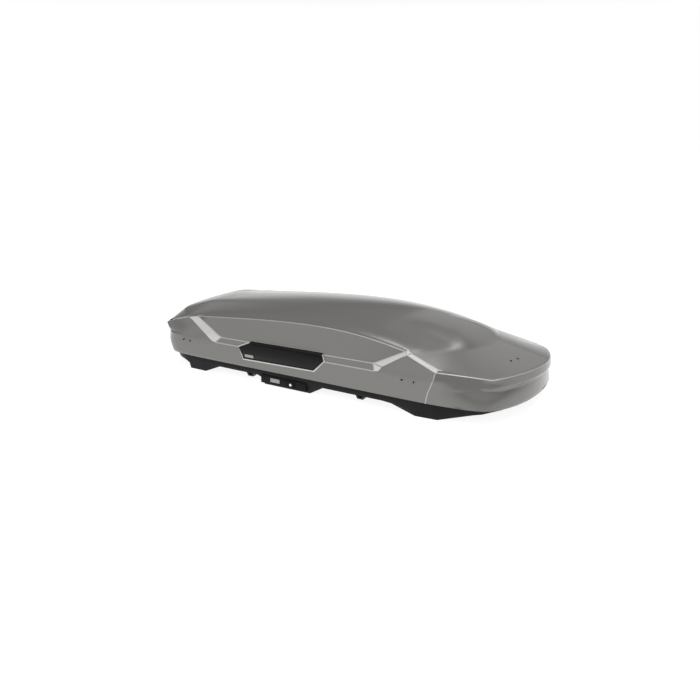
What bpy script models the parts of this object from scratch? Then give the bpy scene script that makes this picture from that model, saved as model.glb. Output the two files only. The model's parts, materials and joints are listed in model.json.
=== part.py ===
"""Roof cargo box: a two-sided opening hard-shell car roof box.

World frame, metres. +X points to the nose, +Z up, -Y is the left side. The box stands
with its six feet on Z = 0, centred on the origin. The lid is shut and unlatched.
"""
import math

import bmesh
import bpy
import numpy as np
from mathutils import Matrix, Vector

# ---------------------------------------------------------------- driving dimensions
RIM_Z = 0.095                # lower edge of the lid's rim
HALF_WIDTH = 0.475           # rim to centre plane
LID_WALL = 0.004
TRAY_WALL = 0.004
TRAY_TOP_Z = 0.100
FLOOR_Z = 0.045              # underside of the tray's floor
MERGE = 0.0001
GAP = 0.0005                 # clearance between pieces that touch

HINGE_Y = 0.420              # both hinge lines run along X at +-HINGE_Y
HINGE_Z = 0.085
HINGE_PIN_R = 0.004
ARM_X = (-0.893, 0.587)      # rear and front hinge arms
STRUT_REACH = 0.240          # hinge line to each strut anchor
STRUT_ANGLE = 60.0           # between a strut's two anchors, lid shut
STRUT_LIFT = {"left": 0.0, "right": 5.5}   # lower anchor's angle over the hinge line
STRUT_STEP = 0.020           # strut plane in front of its arm
STRUT_HALF = 0.0095          # half the width of a strut's eyes

STRIKER_X = (-0.53, -0.12, 0.30)
CLAMP_X = {"rear": -0.47, "front": 0.27}
CLAMP_TRAVEL = {"rear": (-0.05, 0.03), "front": (-0.03, 0.05)}
CLAMP_Y = 0.3875             # middle of the claws and of the knob
CLAW_HALF = 0.0145           # half a claw's width along Y
CLAW_PIVOT = (0.030, 0.064)  # (from the clamp's middle, height)
CLAW_SWEEP = 0.052           # farthest a claw swings from the clamp's middle
HOUSING_HALF = 0.045         # half the carriage's length
HOUSING_TOP = 0.084
RAIL_THICK = 0.0035
SIDES = {"left": -1, "right": 1}
ENDS = {"rear": 0, "front": 1}

# Stations run round one half of the lid, from the middle of the tail to the nose's tip.
STATIONS = 19
CORNER = 3                   # rear corner edge
SCALLOP = (5, 6, 11, 12)     # crest and foot of the side recess, rear then front
NOSE_SIDE = 13               # edge between the flank and the nose


def line(points):
    """A feature line: {station: (x, half width, z)}, straight between its stations."""
    keys = sorted(points)
    table = np.array([points[k] for k in keys])
    at = np.arange(STATIONS)
    return np.stack([np.interp(at, keys, table[:, c]) for c in range(3)], axis=1)


def lid_lines():
    """The lid's outer skin, from its rim up to the middle of its roof."""
    rim = line({0: (-1.125, 0, RIM_Z), 1: (-1.12, 0.2, RIM_Z), 2: (-1.095, 0.36, RIM_Z),
                3: (-1.04, 0.442, RIM_Z), 4: (-0.96, 0.474, RIM_Z),
                5: (-0.7, HALF_WIDTH, RIM_Z), 6: (-0.66, HALF_WIDTH, RIM_Z),
                7: (-0.47, HALF_WIDTH, RIM_Z), 9: (0.09, HALF_WIDTH, RIM_Z),
                11: (0.4, HALF_WIDTH, RIM_Z), 12: (0.44, HALF_WIDTH, RIM_Z),
                13: (0.69, HALF_WIDTH, RIM_Z), 14: (0.86, 0.462, RIM_Z),
                15: (1.0, 0.438, RIM_Z), 16: (1.072, 0.335, RIM_Z),
                17: (1.122, 0.185, RIM_Z), 18: (1.14, 0, RIM_Z)})
    low = line({0: (-1.16, 0, 0.155), 1: (-1.158, 0.2, 0.155), 2: (-1.145, 0.34, 0.155),
                3: (-1.085, 0.428, 0.155), 4: (-0.97, 0.467, 0.152),
                5: (-0.7, 0.475, 0.15), 6: (-0.665, 0.475, 0.15), 7: (-0.47, 0.475, 0.15),
                9: (0.09, 0.475, 0.15), 11: (0.4, 0.475, 0.15), 12: (0.437, 0.475, 0.15),
                13: (0.7, 0.472, 0.15), 14: (0.865, 0.455, 0.15), 15: (1.0, 0.434, 0.15),
                16: (1.068, 0.332, 0.15), 17: (1.118, 0.18, 0.15), 18: (1.137, 0, 0.15)})
    shelf = line({0: (-1.165, 0, 0.2), 1: (-1.162, 0.2, 0.2), 2: (-1.145, 0.34, 0.2),
                  3: (-1.045, 0.432, 0.203), 4: (-0.93, 0.458, 0.203),
                  5: (-0.69, 0.469, 0.203), 6: (-0.668, 0.47, 0.205),
                  7: (-0.47, 0.47, 0.206), 9: (0.09, 0.47, 0.212), 11: (0.392, 0.47, 0.214),
                  12: (0.432, 0.469, 0.214), 13: (0.714, 0.467, 0.19),
                  14: (0.87, 0.447, 0.19), 15: (0.998, 0.426, 0.19),
                  16: (1.062, 0.325, 0.19), 17: (1.112, 0.165, 0.188), 18: (1.135, 0, 0.187)})
    ledge = line({0: (-1.163, 0, 0.225), 1: (-1.16, 0.2, 0.225), 2: (-1.142, 0.348, 0.224),
                  3: (-1.085, 0.409, 0.224), 4: (-0.98, 0.437, 0.238),
                  5: (-0.748, 0.459, 0.236), 6: (-0.64, 0.45, 0.234),
                  7: (-0.43, 0.45, 0.236), 9: (0.06, 0.45, 0.243), 11: (0.377, 0.45, 0.248),
                  12: (0.455, 0.462, 0.238), 13: (0.723, 0.464, 0.218),
                  14: (0.876, 0.44, 0.218), 15: (1.016, 0.424, 0.218),
                  16: (1.077, 0.333, 0.217), 17: (1.138, 0.168, 0.215), 18: (1.165, 0, 0.214)})
    brow = line({0: (-1.155, 0, 0.25), 1: (-1.152, 0.2, 0.25), 2: (-1.138, 0.355, 0.247),
                 3: (-1.12, 0.388, 0.245), 4: (-1.015, 0.405, 0.283),
                 5: (-0.9, 0.425, 0.318), 6: (-0.845, 0.407, 0.325), 7: (-0.57, 0.402, 0.351),
                 8: (-0.25, 0.4, 0.376), 9: (0.06, 0.4, 0.386), 10: (0.31, 0.402, 0.37),
                 11: (0.53, 0.412, 0.336), 12: (0.563, 0.43, 0.318), 13: (0.735, 0.46, 0.262),
                 14: (0.88, 0.432, 0.26), 15: (1.018, 0.418, 0.26), 16: (1.075, 0.325, 0.259),
                 17: (1.135, 0.165, 0.257), 18: (1.162, 0, 0.256)})
    trim = line({0: (-1.148, 0, 0.257), 1: (-1.145, 0.2, 0.257), 2: (-1.13, 0.342, 0.254),
                 3: (-1.112, 0.373, 0.252), 4: (-1.01, 0.391, 0.29), 5: (-0.9, 0.411, 0.322),
                 6: (-0.845, 0.394, 0.329), 7: (-0.57, 0.389, 0.355), 8: (-0.25, 0.387, 0.381),
                 9: (0.06, 0.387, 0.391), 10: (0.31, 0.389, 0.375), 11: (0.535, 0.397, 0.34),
                 12: (0.575, 0.412, 0.323), 13: (0.742, 0.437, 0.27), 14: (0.885, 0.415, 0.268),
                 15: (1.01, 0.4, 0.267), 16: (1.065, 0.313, 0.266), 17: (1.122, 0.16, 0.265),
                 18: (1.148, 0, 0.264)})
    hood = line({0: (-1.085, 0, 0.335), 1: (-1.083, 0.17, 0.335), 2: (-1.065, 0.27, 0.338),
                 3: (-1.03, 0.315, 0.336), 4: (-0.98, 0.358, 0.331), 5: (-0.915, 0.398, 0.326),
                 6: (-0.83, 0.33, 0.348), 7: (-0.58, 0.315, 0.377), 8: (-0.26, 0.31, 0.405),
                 9: (0.05, 0.31, 0.417), 10: (0.31, 0.32, 0.405), 11: (0.55, 0.372, 0.342),
                 12: (0.612, 0.335, 0.331), 13: (0.7, 0.288, 0.328), 14: (0.775, 0.235, 0.325),
                 15: (0.825, 0.17, 0.325), 16: (0.85, 0.115, 0.325), 17: (0.865, 0.06, 0.325),
                 18: (0.872, 0, 0.325)})
    ridge = line({0: (-1.035, 0, 0.344), 1: (-1.033, 0.12, 0.344), 2: (-1.02, 0.155, 0.345),
                  3: (-1.0, 0.16, 0.347), 4: (-0.975, 0.16, 0.349), 5: (-0.94, 0.155, 0.354),
                  6: (-0.87, 0.15, 0.362), 7: (-0.62, 0.15, 0.389), 8: (-0.29, 0.15, 0.42),
                  9: (0.03, 0.155, 0.439), 10: (0.27, 0.17, 0.435), 11: (0.46, 0.19, 0.412),
                  12: (0.6, 0.205, 0.376), 13: (0.7, 0.228, 0.35), 14: (0.765, 0.19, 0.352),
                  15: (0.785, 0.14, 0.362), 16: (0.795, 0.095, 0.368), 17: (0.8, 0.05, 0.371),
                  18: (0.8, 0, 0.372)})
    deck = line({0: (-0.98, 0, 0.352), 1: (-0.975, 0.06, 0.352), 2: (-0.96, 0.1, 0.353),
                 4: (-0.92, 0.105, 0.358), 6: (-0.83, 0.1, 0.369), 7: (-0.6, 0.09, 0.396),
                 8: (-0.29, 0.085, 0.428), 9: (0.03, 0.085, 0.449), 10: (0.27, 0.09, 0.453),
                 11: (0.44, 0.1, 0.444), 12: (0.56, 0.11, 0.426), 13: (0.63, 0.12, 0.411),
                 14: (0.67, 0.1, 0.409), 16: (0.71, 0.05, 0.406), 18: (0.72, 0, 0.406)})
    spine = line({0: (-0.87, 0, 0.366), 5: (-0.8, 0, 0.374), 6: (-0.75, 0, 0.381),
                  7: (-0.55, 0, 0.405), 8: (-0.28, 0, 0.434), 9: (0.03, 0, 0.453),
                  10: (0.25, 0, 0.459), 11: (0.4, 0, 0.455), 12: (0.48, 0, 0.448),
                  13: (0.53, 0, 0.442), 15: (0.575, 0, 0.435), 18: (0.605, 0, 0.43)})
    return [rim, low, shelf, ledge, brow, trim, hood, ridge, deck, spine]


RIM, LOW, SHELF, LEDGE, BROW, TRIM, HOOD, RIDGE, DECK, SPINE = range(10)
# (line, first station, last station, sharpness)
LINE_CREASES = ((RIM, 0, 18, 1.0), (SHELF, 3, 5, 0.5), (SHELF, 6, 11, 1.0),
                (SHELF, 14, 18, 0.9), (LEDGE, 6, 11, 1.0), (LEDGE, 15, 18, 1.0),
                (BROW, 0, 18, 1.0), (TRIM, 11, 15, 0.9), (HOOD, 0, 5, 0.8),
                (HOOD, 11, 18, 0.8), (RIDGE, 5, 13, 0.5))
# (station, first line, last line, sharpness)
CROSS_CREASES = ((CORNER, SHELF, BROW, 1.0), (SCALLOP[0], SHELF, TRIM, 1.0),
                 (SCALLOP[1], SHELF, TRIM, 1.0), (SCALLOP[2], SHELF, TRIM, 1.0),
                 (SCALLOP[3], SHELF, TRIM, 1.0), (NOSE_SIDE, RIM, TRIM, 1.0))

# The tray's outline just inside the lid's rim: (x, half width, x of the point on the
# centre line that it closes to, True where it is one of the deep foot bulges, floor's z)
TRAY_SECTIONS = (
    (-1.102, 0.0, -0.95, False, FLOOR_Z), (-1.094, 0.2, -0.92, False, FLOOR_Z),
    (-1.058, 0.345, -0.9, False, FLOOR_Z), (-1.0, 0.422, -0.88, False, FLOOR_Z),
    (-0.945, 0.448, -0.86, False, FLOOR_Z), (-0.9, 0.456, -0.84, True, FLOOR_Z),
    (-0.78, 0.458, -0.76, True, FLOOR_Z), (-0.67, 0.458, -0.67, False, FLOOR_Z),
    (-0.385, 0.458, -0.385, False, FLOOR_Z), (-0.34, 0.458, -0.34, True, FLOOR_Z),
    (-0.03, 0.458, -0.03, True, FLOOR_Z), (0.055, 0.458, 0.055, False, FLOOR_Z),
    (0.43, 0.458, 0.43, False, FLOOR_Z), (0.618, 0.458, 0.6, True, FLOOR_Z),
    (0.74, 0.45, 0.7, True, FLOOR_Z), (0.93, 0.428, 0.8, False, 0.055),
    (0.972, 0.412, 0.84, False, 0.062), (1.04, 0.318, 0.88, False, 0.068),
    (1.09, 0.176, 0.91, False, 0.07), (1.112, 0.0, 0.93, False, 0.07))
# (distance in from the wall's top edge, height over the floor's underside)
PLAIN_WALL = ((0.0, None), (0.003, 0.025), (0.012, 0.005), (0.04, 0.0), (0.12, 0.0))
FOOT_WALL = ((0.0, None), (0.003, 0.025), (0.011, -0.01), (0.02, -FLOOR_Z), (0.1, -FLOOR_Z))
FOOT_INNER = 0.15            # where the floor between the feet begins

# Handle outline on the flank (x, z): lower facet, then the two corners of the upper facet
HANDLE_LOW = ((-0.488, 0.208), (-0.459, 0.142), (0.022, 0.152), (0.083, 0.216))
HANDLE_HIGH = ((0.058, 0.25), (-0.411, 0.241))
HANDLE_FACE = 0.478
HANDLE_TOP_FACE = 0.456

MATERIALS = {
    "lid_gloss": ((0.30, 0.295, 0.28), 0.22, 0.55),
    "black_plastic": ((0.018, 0.018, 0.02), 0.45, 0.0),
    "handle_black": ((0.012, 0.012, 0.014), 0.3, 0.0),
    "liner_grey": ((0.06, 0.06, 0.065), 0.6, 0.0),
    "zinc_steel": ((0.42, 0.43, 0.45), 0.35, 1.0),
    "dark_steel": ((0.08, 0.08, 0.085), 0.4, 1.0),
    "polished_steel": ((0.75, 0.75, 0.76), 0.12, 1.0),
    "label_silver": ((0.6, 0.6, 0.6), 0.35, 0.3),
    "seal_rubber": ((0.015, 0.015, 0.015), 0.75, 0.0),
    "mat_foam": ((0.05, 0.05, 0.055), 0.9, 0.0),
}


# ------------------------------------------------------------------------ small tools
def clear_scene():
    for thing in list(bpy.data.objects):
        bpy.data.objects.remove(thing, do_unlink=True)


def make_collection(name):
    group = bpy.data.collections.new(name)
    bpy.context.scene.collection.children.link(group)
    return group


def material(slot):
    made = bpy.data.materials.get(slot)
    if made is None:
        colour, roughness, metallic = MATERIALS[slot]
        made = bpy.data.materials.new(slot)
        made.use_nodes = True
        shader = made.node_tree.nodes["Principled BSDF"]
        shader.inputs["Base Color"].default_value = (*colour, 1.0)
        shader.inputs["Roughness"].default_value = roughness
        shader.inputs["Metallic"].default_value = metallic
    return made


def mesh_object(bm, name, group):
    mesh = bpy.data.meshes.new(name)
    bm.to_mesh(mesh)
    bm.free()
    made = bpy.data.objects.new(name, mesh)
    group.objects.link(made)
    return made


def block(low, high):
    """A box between two corners, given in any order."""
    low, high = np.minimum(low, high), np.maximum(low, high)
    bm = bmesh.new()
    bmesh.ops.create_cube(bm, size=1.0)
    bmesh.ops.scale(bm, vec=Vector(high - low), verts=bm.verts)
    bmesh.ops.translate(bm, vec=Vector((high + low) / 2), verts=bm.verts)
    return mesh_object(bm, "block", shapes)


def rod(start, end, radius, sides=16, end_radius=None):
    """A cylinder or cone between two points."""
    start, end = Vector(start), Vector(end)
    bm = bmesh.new()
    bmesh.ops.create_cone(bm, cap_ends=True, segments=sides, radius1=radius,
                          radius2=radius if end_radius is None else end_radius,
                          depth=(end - start).length)
    turn = (end - start).to_track_quat("Z", "Y").to_matrix().to_4x4()
    bmesh.ops.transform(bm, matrix=Matrix.Translation((start + end) / 2) @ turn, verts=bm.verts)
    return mesh_object(bm, "rod", shapes)


def plate(outline, low_x, high_x):
    """A flat outline in the YZ plane, extruded along X."""
    curve = bpy.data.curves.new("plate", "CURVE")
    curve.dimensions = "2D"
    curve.fill_mode = "BOTH"
    curve.extrude = (high_x - low_x) / 2
    spline = curve.splines.new("POLY")
    spline.points.add(len(outline) - 1)
    for point, (y, z) in zip(spline.points, outline):
        point.co = (y, z, 0, 1)
    spline.use_cyclic_u = True
    outline_object = bpy.data.objects.new("plate", curve)
    shapes.objects.link(outline_object)
    mesh = evaluated_mesh(outline_object)
    bpy.data.objects.remove(outline_object)
    bm = bmesh.new()
    bm.from_mesh(mesh)
    bmesh.ops.remove_doubles(bm, verts=bm.verts, dist=1e-6)
    # The curve lies in XY: its X becomes world Y and its Y becomes world Z.
    turn = Matrix(((0, 0, 1, (low_x + high_x) / 2), (1, 0, 0, 0), (0, 1, 0, 0), (0, 0, 0, 1)))
    bmesh.ops.transform(bm, matrix=turn, verts=bm.verts)
    bmesh.ops.recalc_face_normals(bm, faces=bm.faces)
    return mesh_object(bm, "plate", shapes)


def hull(points):
    bm = bmesh.new()
    for point in points:
        bm.verts.new(point)
    bmesh.ops.convex_hull(bm, input=bm.verts)
    bmesh.ops.recalc_face_normals(bm, faces=bm.faces)
    return mesh_object(bm, "hull", shapes)


def evaluated_mesh(thing):
    bpy.context.view_layer.update()
    graph = bpy.context.evaluated_depsgraph_get()
    return bpy.data.meshes.new_from_object(thing.evaluated_get(graph))


def solid(name, slot, pieces, cuts=(), origin=(0, 0, 0), smooth=None):
    """One node: the union of some shapes, less some others, with its origin set."""
    body = pieces[0]
    for operation, others in (("UNION", pieces[1:]), ("DIFFERENCE", cuts)):
        for other in others:
            change = body.modifiers.new(operation.lower(), "BOOLEAN")
            change.operation = operation
            change.object = other
    mesh = evaluated_mesh(body)
    for shape in (*pieces, *cuts):
        bpy.data.objects.remove(shape)
    return node(name, slot, mesh, origin, smooth)


def node(name, slot, mesh, origin, smooth):
    mesh.transform(Matrix.Translation(-Vector(origin)))
    mesh.name = name
    if smooth:
        mesh.shade_smooth()
        mesh.set_sharp_from_angle(angle=math.radians(smooth))
    made = bpy.data.objects.new(name, mesh)
    made.location = origin
    mesh.materials.clear()
    mesh.materials.append(material(slot))
    parts.objects.link(made)
    return made


def skin(lines, creases=(), cross_creases=(), flip=False):
    """A half shell over a grid of lines. Each line is rows of (x, half width, z)."""
    bm = bmesh.new()
    sharp = bm.edges.layers.float.new("crease_edge")
    rows = [[bm.verts.new((x, -w, z)) for x, w, z in row] for row in lines]
    for row, above in zip(rows, rows[1:]):
        for i in range(len(row) - 1):
            corners = [row[i], row[i + 1], above[i + 1], above[i]]
            bm.faces.new(corners[::-1] if flip else corners)
    for index, first, last, weight in creases:
        for i in range(first, last):
            bm.edges.get((rows[index][i], rows[index][i + 1]))[sharp] = weight
    for station, first, last, weight in cross_creases:
        for j in range(first, last):
            bm.edges.get((rows[j][station], rows[j + 1][station]))[sharp] = weight
    return bm


def mirror_halves(thing):
    mirror = thing.modifiers.new("both_sides", "MIRROR")
    mirror.use_axis = (False, True, False)
    mirror.merge_threshold = MERGE


def across(side, y):
    """A distance from the centre plane, on the left or the right side."""
    return SIDES[side] * y


# ------------------------------------------------------------------------------- lid
def handle_points(face, top_face, grow=0.0):
    """The handle's six corners at one depth, optionally grown outward for a cutter."""
    corners = [(x, face, z) for x, z in HANDLE_LOW] + [(x, top_face, z) for x, z in HANDLE_HIGH]
    middle_x = np.mean([c[0] for c in corners])
    middle_z = np.mean([c[2] for c in corners])
    return [(x + math.copysign(grow, x - middle_x), w, z + math.copysign(grow, z - middle_z))
            for x, w, z in corners]


def handle_shape(side, depth, grow=0.0, proud=0.0):
    outer = handle_points(HANDLE_FACE + proud, HANDLE_TOP_FACE + proud, grow)
    inner = handle_points(HANDLE_FACE - depth, HANDLE_TOP_FACE - depth, grow)
    return hull([(x, across(side, w), z) for x, w, z in outer + inner])


def build_lid():
    shell = mesh_object(skin(LINES, LINE_CREASES, CROSS_CREASES), "lid_shell", parts)
    shell.data.materials.append(material("lid_gloss"))
    shell.data.shade_smooth()
    shell.data.set_sharp_from_angle(angle=math.radians(30))
    mirror_halves(shell)
    rounding = shell.modifiers.new("smooth_panels", "SUBSURF")
    rounding.levels = rounding.render_levels = 1
    thicken = shell.modifiers.new("wall", "SOLIDIFY")
    thicken.thickness = LID_WALL
    thicken.offset = -1
    for side in SIDES:
        add_cutter(shell, f"handle_pocket_{side}",
                   handle_shape(side, depth=0.04, grow=0.0015, proud=0.03))


def build_handles():
    for side in SIDES:
        solid(f"side_handle_{side}", "handle_black", [handle_shape(side, depth=0.012)])
        face = HANDLE_FACE + 0.0003
        solid(f"handle_badge_{side}", "label_silver",
              [block((-0.445, across(side, face), 0.156),
                     (-0.385, across(side, face + 0.001), 0.172))])


def lid_section(x):
    """(half width, z) of the lid's skin at one x, from flank to centre."""
    section = []
    for row in LINES[TRIM:]:
        reach = row[4:15]
        section.append((np.interp(x, reach[:, 0], reach[:, 1]), np.interp(x, reach[:, 0], reach[:, 2])))
    section[-1] = (0.0, np.interp(x, LINES[SPINE][:, 0], LINES[SPINE][:, 2]))
    return np.array(section)


def roof_bow(low_x, high_x, drop=0.016, depth=0.010):
    """A cross rib that follows the roof's inside, from flank to flank."""
    low_side = lid_section(low_x)
    high_side = lid_section(high_x)
    under = np.stack([(low_side[:, 0] + high_side[:, 0]) / 2,
                      np.minimum(low_side[:, 1], high_side[:, 1])], axis=1)
    half = [(-w, z) for w, z in under]
    top = half + [(-y, z) for y, z in half[-2::-1]]
    outline = [(y * 0.985, z - drop) for y, z in top]
    outline += [(y * 0.97, z - drop - depth) for y, z in top[::-1]]
    return outline


def build_lid_inside():
    bolt = HINGE_Z + STRUT_REACH * math.sin(math.radians(STRUT_LIFT["right"] + STRUT_ANGLE))
    bolt_y = HINGE_Y - STRUT_REACH * math.cos(math.radians(STRUT_LIFT["right"] + STRUT_ANGLE))
    for end, x in zip(ENDS, ARM_X):
        low_x, high_x = x + 0.030, x + 0.055
        outline = roof_bow(low_x, high_x)
        bow = plate(outline, low_x, high_x)
        inner_x = x + STRUT_STEP + STRUT_HALF + GAP
        outer_x = inner_x + 0.005
        above = np.interp(bolt_y, [y for y, _ in outline[:len(outline) // 2]],
                          [z for _, z in outline[:len(outline) // 2]]) - 0.004
        tab = plate([(bolt_y - 0.009, bolt - 0.009), (bolt_y + 0.009, bolt - 0.009),
                     (bolt_y + 0.012, above - 0.002), (bolt_y - 0.02, above)], inner_x, outer_x)
        solid(f"lid_bow_{end}", "liner_grey", [bow, tab])
    # A flat brace under the bonnet, sloped with it
    slope = math.atan2(0.069, 0.286)
    brace = []
    for dx in (-0.03, 0.03):
        for y in (-0.17, 0.17):
            top = 0.280 - dx * math.tan(slope)
            brace += [(1.0 + dx, y, top), (1.0 + dx, y, top - 0.006)]
    solid("nose_brace", "liner_grey", [hull(brace)])


def lug_outline(side, reach=0.4625):
    """A stem up from a hinge or striker pin, with an arm out to the lid's wall."""
    y = [across(side, w) for w in (HINGE_Y - 0.008, HINGE_Y + 0.008, reach)]
    return [(y[0], HINGE_Z - 0.008), (y[1], HINGE_Z - 0.008), (y[1], 0.140), (y[2], 0.140),
            (y[2], 0.154), (y[0], 0.154)]


def build_strikers():
    for side in SIDES:
        y = across(side, HINGE_Y)
        rail = block((STRIKER_X[0] + 0.020, across(side, 0.4575), 0.140),
                     (STRIKER_X[-1] + 0.026, across(side, 0.4625), 0.154))
        lugs = [plate(lug_outline(side), x + 0.020, x + 0.026) for x in STRIKER_X]
        pins = [rod((x - 0.020, y, HINGE_Z), (x + 0.023, y, HINGE_Z), HINGE_PIN_R, 12)
                for x in STRIKER_X]
        solid(f"striker_rail_{side}", "zinc_steel", [rail, *lugs, *pins],
              origin=(0, y, HINGE_Z), smooth=40)


# ------------------------------------------------------------------------------ tray
def tray_lines(first_inset=0.0):
    """The tray's outer skin as rows from the wall's top edge to the centre line."""
    rows = [[] for _ in range(len(PLAIN_WALL) + 2)]
    for x, w, middle_x, foot, floor in TRAY_SECTIONS:
        edge, middle = np.array((x, w)), np.array((middle_x, 0.0))
        inward = (middle - edge) / np.linalg.norm(middle - edge)
        profile = FOOT_WALL if foot else PLAIN_WALL
        for row, (inset, rise) in zip(rows, profile):
            at = edge + inward * (inset + first_inset)
            row.append((*at, TRAY_TOP_Z if rise is None else floor + rise))
        room = np.linalg.norm(middle - edge)
        at = edge + inward * (FOOT_INNER + 0.01 if room > 0.2 else room * 0.98)
        rows[-2].append((*at, floor))
        rows[-1].append((middle_x, 0.0, floor))
    return rows


def build_tray():
    tray = mesh_object(skin(tray_lines(), flip=True), "base_tray", parts)
    tray.data.materials.append(material("black_plastic"))
    mirror_halves(tray)
    thicken = tray.modifiers.new("wall", "SOLIDIFY")
    thicken.thickness = TRAY_WALL
    thicken.offset = -1
    for side in SIDES:
        for end in ENDS:
            add_cutter(tray, f"clamp_slot_{end}_{side}", clamp_slot(side, end))
        add_cutter(tray, f"latch_slot_{side}", latch_slot(side))


def add_cutter(target, name, shape):
    shape.name = name
    cutters.objects.link(shape)
    shapes.objects.unlink(shape)
    shape.hide_render = True
    shape.display_type = "WIRE"
    cut = target.modifiers.new(name, "BOOLEAN")
    cut.operation = "DIFFERENCE"
    cut.object = shape


def clamp_slot(side, end):
    """The slot through tray and rail that one clamp's claws travel and swing in."""
    back, ahead = CLAMP_TRAVEL[end]
    half = CLAW_HALF + 0.001
    return block((CLAMP_X[end] + back - CLAW_SWEEP, across(side, CLAMP_Y - half), 0.03),
                 (CLAMP_X[end] + ahead + CLAW_SWEEP, across(side, CLAMP_Y + half), 0.07))


def latch_slot(side):
    return block((-0.197, across(side, 0.435), 0.028), (-0.143, across(side, 0.47), 0.044))


def build_tray_fittings():
    edge = tray_lines()[0]
    inner = tray_lines(first_inset=0.004)[0]
    low, high = TRAY_TOP_Z + 0.0025, TRAY_TOP_Z + 0.006
    ring = [[(x, w, z) for x, w, _ in row] for row, z in
            ((edge, low), (edge, high), (inner, high), (inner, low), (edge, low))]
    bm = skin(ring)
    bmesh.ops.remove_doubles(bm, verts=bm.verts, dist=1e-6)
    seal = mesh_object(bm, "rim_seal", parts)
    seal.data.materials.append(material("seal_rubber"))
    mirror_halves(seal)

    floor_top = FLOOR_Z + TRAY_WALL
    for side in SIDES:
        rail = block((-0.62, across(side, 0.350), floor_top + GAP),
                     (0.42, across(side, 0.4075), floor_top + GAP + RAIL_THICK))
        solid(f"base_rail_{side}", "zinc_steel", [rail], [clamp_slot(side, end) for end in ENDS])
        strip = block((STRIKER_X[0] - 0.018, across(side, 0.408), floor_top + 0.0048),
                      (STRIKER_X[-1] + 0.018, across(side, 0.4265), floor_top + 0.008))
        seats = [block((x - 0.018, across(side, 0.408), floor_top + 0.006),
                       (x + 0.018, across(side, 0.4265), HINGE_Z - HINGE_PIN_R - GAP))
                 for x in STRIKER_X]
        solid(f"striker_seats_{side}", "black_plastic", [strip, *seats])
        face = [(0.4570, 0.062), (0.4570, 0.014), (0.4425, 0.012), (0.4485, 0.035), (0.4545, 0.062)]
        fascia = plate([(across(side, w), z) for w, z in face], -0.352, -0.045)
        solid(f"lock_fascia_{side}", "black_plastic", [fascia], [latch_slot(side)])
        solid(f"label_plate_{side}", "label_silver",
              [block((-0.285, across(side, 0.4573), 0.027), (-0.222, across(side, 0.4583), 0.05))])
    solid("base_mat", "mat_foam",
          [block((-0.84, -0.27, floor_top + GAP), (0.53, 0.27, floor_top + 0.004))])


def build_hinge_brackets():
    """Bearing blocks on the left wall, and posts for the left struts' lower anchors."""
    anchor = strut_anchor("left", 0)
    low = FLOOR_Z + TRAY_WALL + GAP
    for end, x in zip(ENDS, ARM_X):
        bearing = block((x + 0.006, -0.4465, 0.071), (x + 0.026, -0.405, 0.0985))
        solid(f"base_hinge_block_{end}", "dark_steel", [bearing], [pin_hole(x, -HINGE_Y)])
        post_x = x + STRUT_STEP + STRUT_HALF + GAP
        post = plate([(anchor.y - 0.03, low), (anchor.y + 0.03, low),
                      (anchor.y + 0.009, anchor.z + 0.009), (anchor.y - 0.009, anchor.z + 0.009)],
                     post_x, post_x + 0.005)
        solid(f"base_strut_post_{end}", "zinc_steel", [post])


def pin_hole(x, y):
    return rod((x, y, HINGE_Z), (x + 0.035, y, HINGE_Z), HINGE_PIN_R + GAP, 12)


# --------------------------------------------------------------------- hinge and lift
def strut_anchor(side, end):
    """A strut's lower (0) or upper (1) anchor in the YZ plane, lid shut."""
    angle = math.radians(STRUT_LIFT[side] + end * STRUT_ANGLE)
    y = HINGE_Y - STRUT_REACH * math.cos(angle)
    return Vector((0, across(side, y), HINGE_Z + STRUT_REACH * math.sin(angle)))


def build_hinge_arms():
    tower = strut_anchor("left", 1)
    for end, x in zip(ENDS, ARM_X):
        outline = [(-0.431, 0.076), (-0.409, 0.076), (-0.4, 0.098), (0.4, 0.098), (0.409, 0.076),
                   (0.431, 0.076), (0.431, 0.094), (0.405, 0.118), (-0.2, 0.118),
                   (tower.y + 0.011, tower.z + 0.009), (tower.y - 0.011, tower.z + 0.009),
                   (-0.372, 0.118), (-0.405, 0.118), (-0.431, 0.094)]
        bar = plate(outline, x - 0.004, x + 0.004)
        pins = [rod((x, y, HINGE_Z), (x + 0.028, y, HINGE_Z), HINGE_PIN_R, 12)
                for y in (-HINGE_Y, HINGE_Y)]
        low = strut_anchor("right", 0)
        boss_x = x + STRUT_STEP - STRUT_HALF - GAP
        bosses = [rod((x, a.y, a.z), (boss_x, a.y, a.z), 0.007, 12)
                  for a in (tower, low)]
        solid(f"hinge_arm_{end}", "dark_steel", [bar, *pins, *bosses],
              origin=(x, -HINGE_Y, HINGE_Z))


def build_hinge_lugs():
    """The lid's own bearings on the arms' right-hand pins."""
    for end, x in zip(ENDS, ARM_X):
        lug = plate(lug_outline("right", reach=0.458), x + 0.006, x + 0.026)
        solid(f"lid_hinge_lug_{end}", "dark_steel", [lug], [pin_hole(x, HINGE_Y)],
              origin=(x, HINGE_Y, HINGE_Z))


def build_struts():
    for side in SIDES:
        low, high = strut_anchor(side, 0), strut_anchor(side, 1)
        along = (high - low).normalized()
        for end, x in zip(ENDS, ARM_X):
            base = Vector((x + STRUT_STEP, low.y, low.z))
            tip = Vector((x + STRUT_STEP, high.y, high.z))
            sideways = Vector((STRUT_HALF, 0, 0))
            eye = rod(base - sideways, base + sideways, 0.008, 12)
            barrel = rod(base + along * 0.004, base + along * 0.190, 0.009, 12)
            bore = rod(base + along * 0.020, base + along * 0.20, 0.0055, 12)
            solid(f"strut_cylinder_{end}_{side}", "dark_steel", [eye, barrel], [bore], base, 40)
            stem = rod(base + along * 0.030, tip, 0.004, 12)
            ball = rod(tip - sideways, tip + sideways, 0.008, 12)
            solid(f"strut_rod_{end}_{side}", "polished_steel", [stem, ball], (), tip, 40)


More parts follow.
